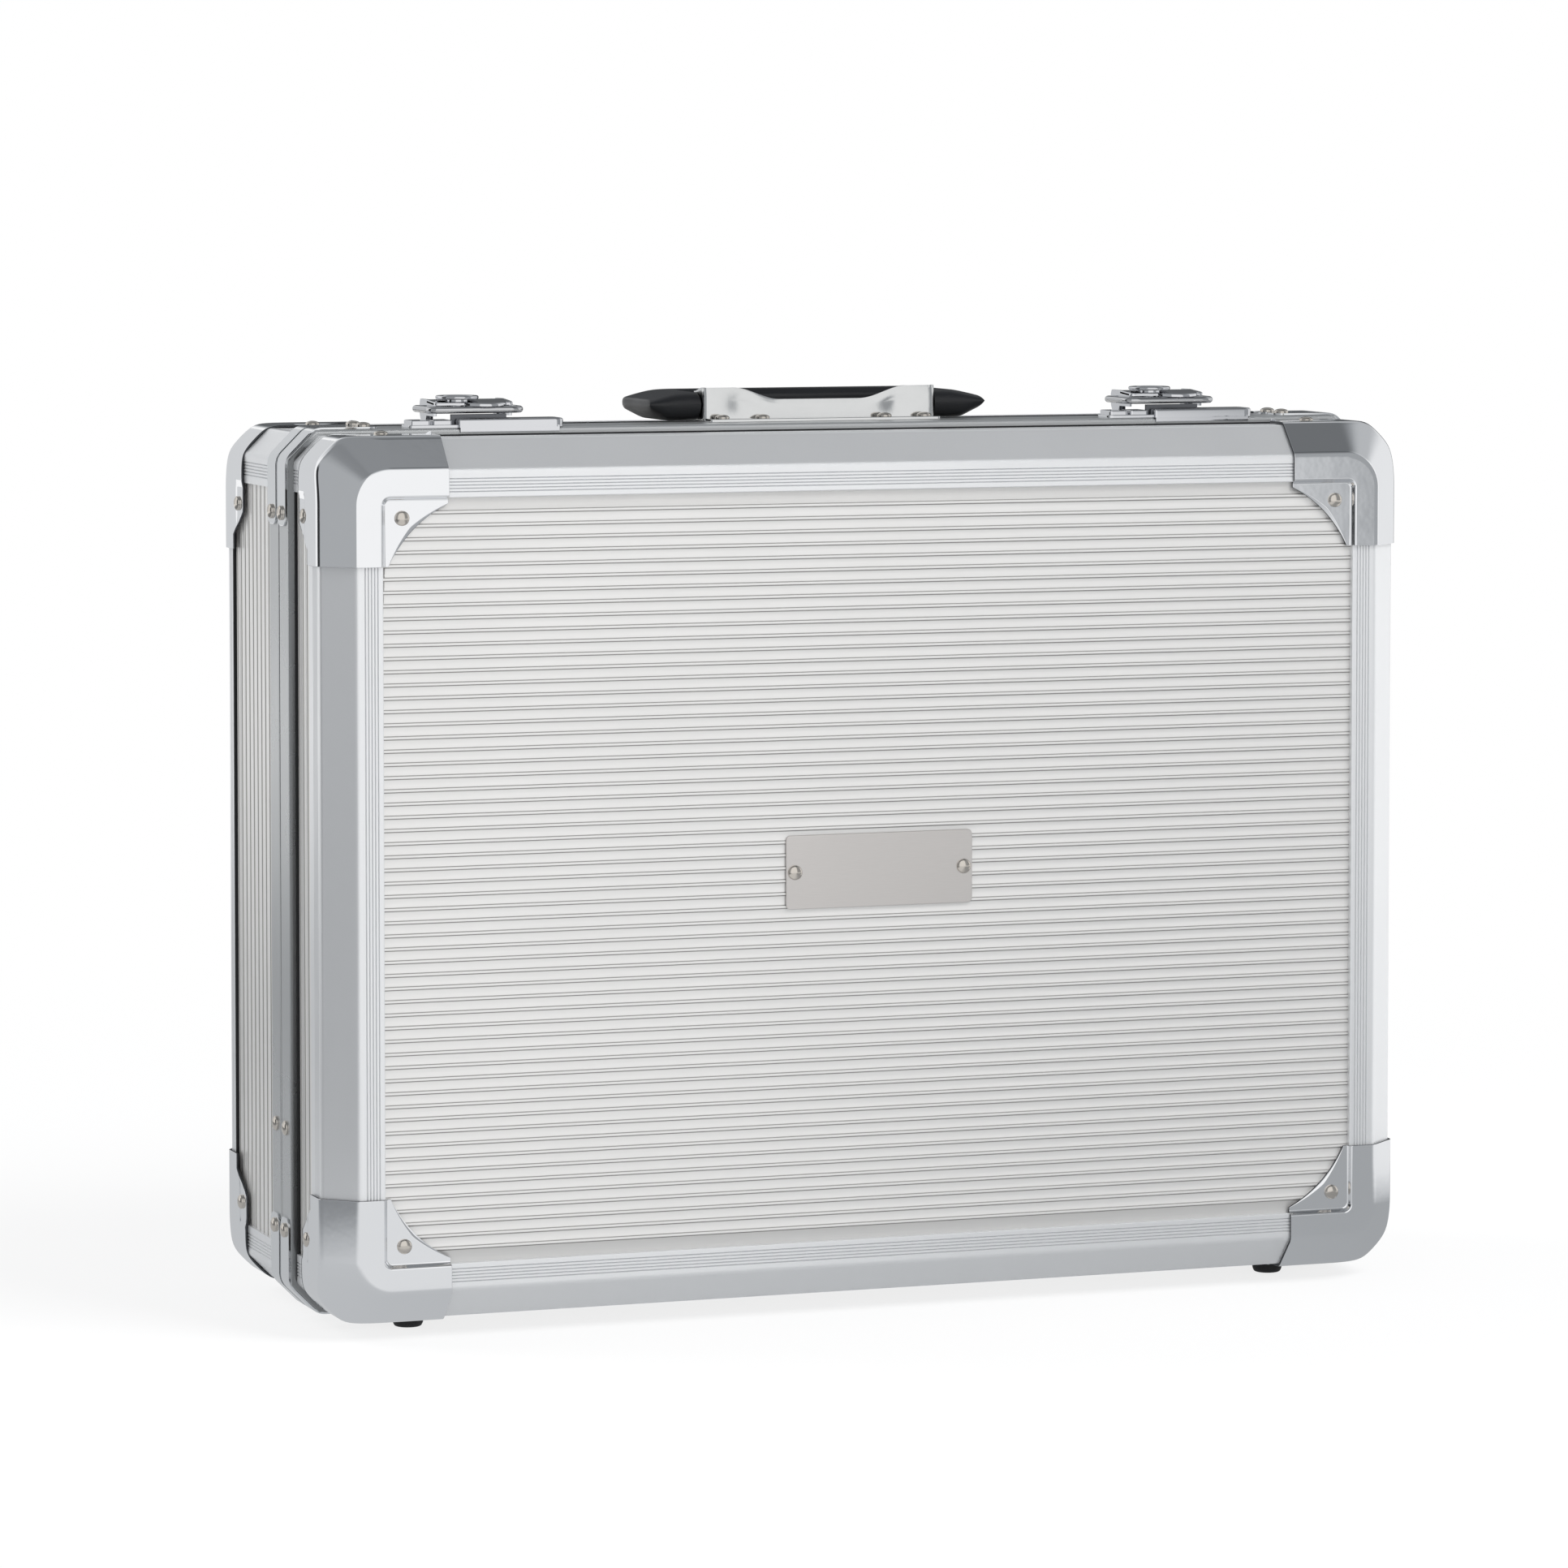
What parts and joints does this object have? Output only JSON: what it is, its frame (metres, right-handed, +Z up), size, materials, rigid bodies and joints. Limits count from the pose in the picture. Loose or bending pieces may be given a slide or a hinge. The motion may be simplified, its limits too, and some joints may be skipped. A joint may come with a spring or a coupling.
{
  "type": "hard shell tool case",
  "caption": "Hinged aluminium tool case with ribbed panels, bevelled edge profiles, pressed corner brackets, folding handle and draw latches.",
  "frame": {"origin": "centre of the case's footprint, on the ground under its feet", "axes": "+Z up with the handle on top, +X along the case's width, -Y out of the lid's front face"},
  "size_m": [0.4596, 0.1574, 0.3632],
  "materials": {
    "ribbed_sheet": "rolled ribs, satin",
    "board": "thin plywood, raw",
    "anodised_profile": "extruded, satin anodised",
    "bracket_metal": "pressed, semi-bright",
    "clip_metal": "pressed, bright",
    "rivet_metal": "domed, bright",
    "lining": "felt over thin card",
    "rubber": "matt",
    "plate_metal": "satin, blank",
    "plated_steel": "nickel plated",
    "hinge_metal": "satin",
    "pin_steel": "drawn",
    "grip_plastic": "moulded",
    "wire_steel": "nickel plated wire",
    "lock_metal": "nickel plated"
  },
  "bodies": {
    "base": {"base_back_sheet": "ribbed_sheet", "base_side_sheets": "ribbed_sheet", "base_boards": "board", "base_edge_profiles": "anodised_profile", "base_corner_profiles": "anodised_profile", "base_closure_profiles": "anodised_profile", "base_corner_brackets": "bracket_metal", "base_closure_clips": "clip_metal", "base_rivets": "rivet_metal", "base_lining": "lining", "base_feet": "rubber", "base_hinge_leaf": "hinge_metal", "hinge_pin": "pin_steel", "handle_bracket": "plated_steel", "handle_rivets": "rivet_metal", "latch_plate_left": "plated_steel", "latch_plate_right": "plated_steel", "latch_pins": "pin_steel", "latch_rivets": "rivet_metal"},
    "lid": {"lid_front_sheet": "ribbed_sheet", "lid_side_sheets": "ribbed_sheet", "lid_boards": "board", "lid_edge_profiles": "anodised_profile", "lid_corner_profiles": "anodised_profile", "lid_closure_profiles": "anodised_profile", "lid_seal": "rubber", "lid_corner_brackets": "bracket_metal", "lid_closure_clips": "clip_metal", "lid_rivets": "rivet_metal", "lid_lining": "lining", "lid_feet": "rubber", "name_plate": "plate_metal", "name_plate_rivets": "rivet_metal", "latch_keepers": "plated_steel", "latch_catches": "plated_steel", "lid_hinge_leaf": "hinge_metal"},
    "handle": {"handle_grip": "grip_plastic", "handle_pins": "pin_steel"},
    "lever_left": {"latch_lever_left": "plated_steel"},
    "bail_left": {"latch_bail_left": "wire_steel"},
    "lock_left": {"latch_lock_left": "lock_metal"},
    "lever_right": {"latch_lever_right": "plated_steel"},
    "bail_right": {"latch_bail_right": "wire_steel"},
    "lock_right": {"latch_lock_right": "lock_metal"}
  },
  "joints": [
    {"name": "lid_hinge", "type": "hinge", "parent": "base", "child": "lid", "pos_m": [0, -0.017, 0.0031], "axis": [1, 0, 0], "range_deg": [0, 100]},
    {"name": "handle_hinge", "type": "hinge", "parent": "base", "child": "handle", "pos_m": [0, -0.0005, 0.3565], "axis": [1, 0, 0], "range_deg": [0, 90]},
    {"name": "latch_lever_left", "type": "hinge", "parent": "base", "child": "lever_left", "pos_m": [-0.147, -0.01, 0.3565], "axis": [-1, 0, 0], "range_deg": [0, 150]},
    {"name": "latch_bail_left", "type": "hinge", "parent": "lever_left", "child": "bail_left", "pos_m": [-0.147, -0.0065, 0.3565], "axis": [-1, 0, 0], "range_deg": [-120, 0]},
    {"name": "lock_turn_left", "type": "hinge", "parent": "lever_left", "child": "lock_left", "pos_m": [-0.155, -0.018, 0.3595], "axis": [0, 0, 1], "range_deg": [0, 90]},
    {"name": "latch_lever_right", "type": "hinge", "parent": "base", "child": "lever_right", "pos_m": [0.147, -0.01, 0.3565], "axis": [-1, 0, 0], "range_deg": [0, 150]},
    {"name": "latch_bail_right", "type": "hinge", "parent": "lever_right", "child": "bail_right", "pos_m": [0.147, -0.0065, 0.3565], "axis": [-1, 0, 0], "range_deg": [-120, 0]},
    {"name": "lock_turn_right", "type": "hinge", "parent": "lever_right", "child": "lock_right", "pos_m": [0.139, -0.018, 0.3595], "axis": [0, 0, 1], "range_deg": [0, 90]}
  ],
  "couplings": [
    {"joint": "latch_bail_left", "follows": "latch_lever_left", "ratio": -0.8},
    {"joint": "latch_bail_right", "follows": "latch_lever_right", "ratio": -0.8}
  ]
}
